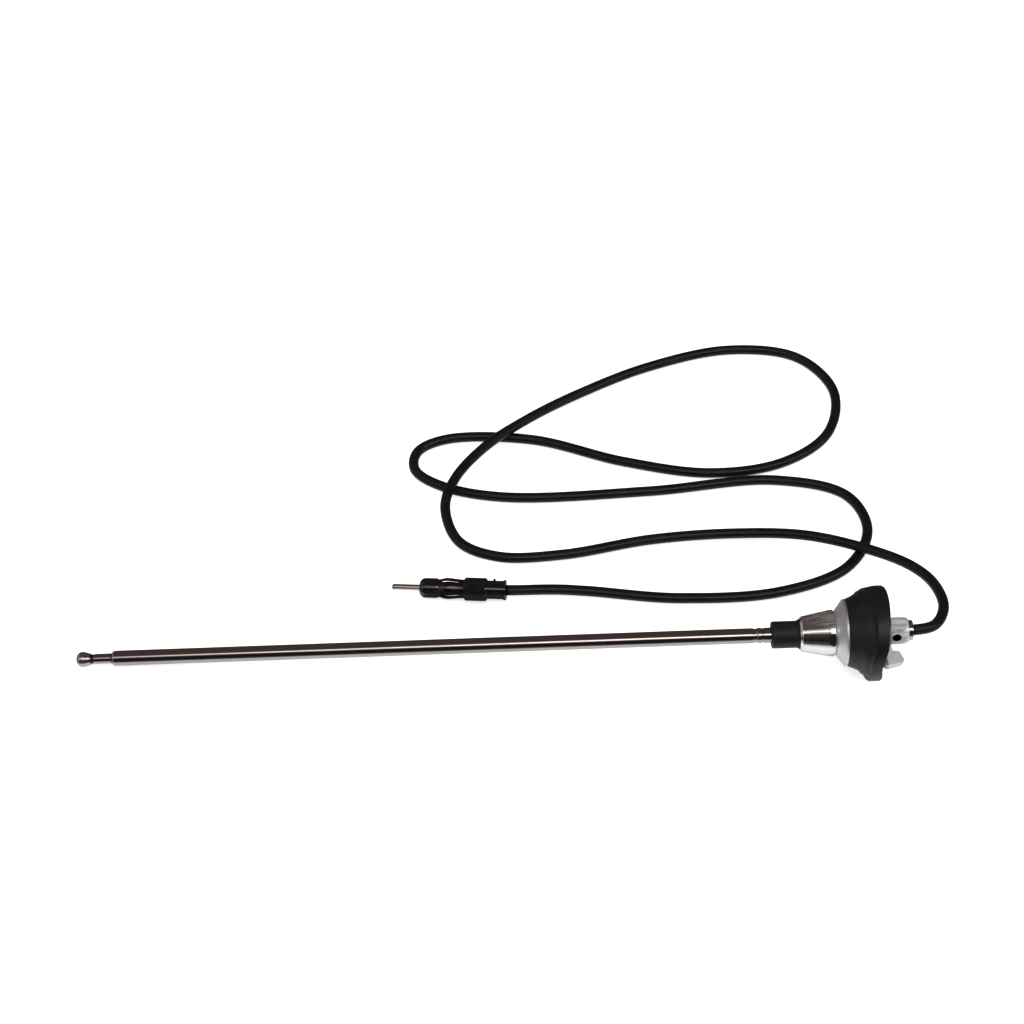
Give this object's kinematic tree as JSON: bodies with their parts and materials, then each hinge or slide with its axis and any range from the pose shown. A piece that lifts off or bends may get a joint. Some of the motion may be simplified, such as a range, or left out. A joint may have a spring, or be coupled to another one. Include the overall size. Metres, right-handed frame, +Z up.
{
  "type": "truck antenna",
  "caption": "Telescopic mast antenna on a hollow rubber gasket with a claw clamp below, and a coaxial cable that ends in a pin plug.",
  "frame": {"origin": "middle of the gasket's underside, on the axis of the stem", "axes": "the mast lies towards -X and dips to the table, the cable leaves towards +X, +Y to the cable's side, +Z up"},
  "size_m": [0.4124, 0.2515, 0.0441],
  "materials": {
    "bright_plate": "polished",
    "zinc_plate": "satin",
    "satin_metal": "satin",
    "cast_zinc": "satin",
    "brass": "satin",
    "dark_spring": "polished",
    "black_moulding": "matte",
    "gasket_rubber": "matte",
    "cable_jacket": "satin",
    "plug_plastic": "polished",
    "clear_insulation": "matte"
  },
  "bodies": {
    "base": {"mast_outer_tube": "bright_plate", "mast_stud": "brass", "insulating_collar": "black_moulding", "lower_insulator": "clear_insulation", "threaded_stem": "zinc_plate", "rubber_gasket": "gasket_rubber", "cable_ferrule": "bright_plate", "cable_inner_end": "cable_jacket", "antenna_cable": "cable_jacket", "plug_pin": "bright_plate", "plug_nose": "plug_plastic", "plug_barrel": "dark_spring", "plug_grip": "plug_plastic"},
    "middle": {"mast_middle_tube": "bright_plate", "middle_tube_friction_bush": "brass"},
    "rod": {"mast_rod": "bright_plate", "rod_friction_bush": "brass", "tip_cap": "bright_plate"},
    "washer": {"cone_washer": "satin_metal"},
    "nut": {"clamp_nut": "bright_plate"},
    "claw": {"claw": "cast_zinc"}
  },
  "joints": [
    {"name": "middle_tube_slide", "type": "slide", "parent": "base", "child": "middle", "axis": [-0.9987, 0, -0.0511], "range_m": [0, 0.27]},
    {"name": "rod_slide", "type": "slide", "parent": "middle", "child": "rod", "axis": [-0.9987, 0, -0.0511], "range_m": [0, 0.26]},
    {"name": "washer_travel", "type": "slide", "parent": "base", "child": "washer", "axis": [-0.9987, 0, -0.0511], "range_m": [0, 0.004]},
    {"name": "nut_turn", "type": "hinge", "parent": "washer", "child": "nut", "pos_m": [-0.02896, 0, -0.00148], "axis": [-0.9987, 0, -0.0511], "range_deg": [0, 1440]},
    {"name": "claw_tilt", "type": "hinge", "parent": "base", "child": "claw", "pos_m": [0.002, 0, 0.0001], "axis": [0.0463, 0.4226, -0.9051], "range_deg": [-4, 24]}
  ],
  "couplings": [
    {"joint": "nut_turn", "follows": "washer_travel", "rad_per_m": 6283.2}
  ]
}
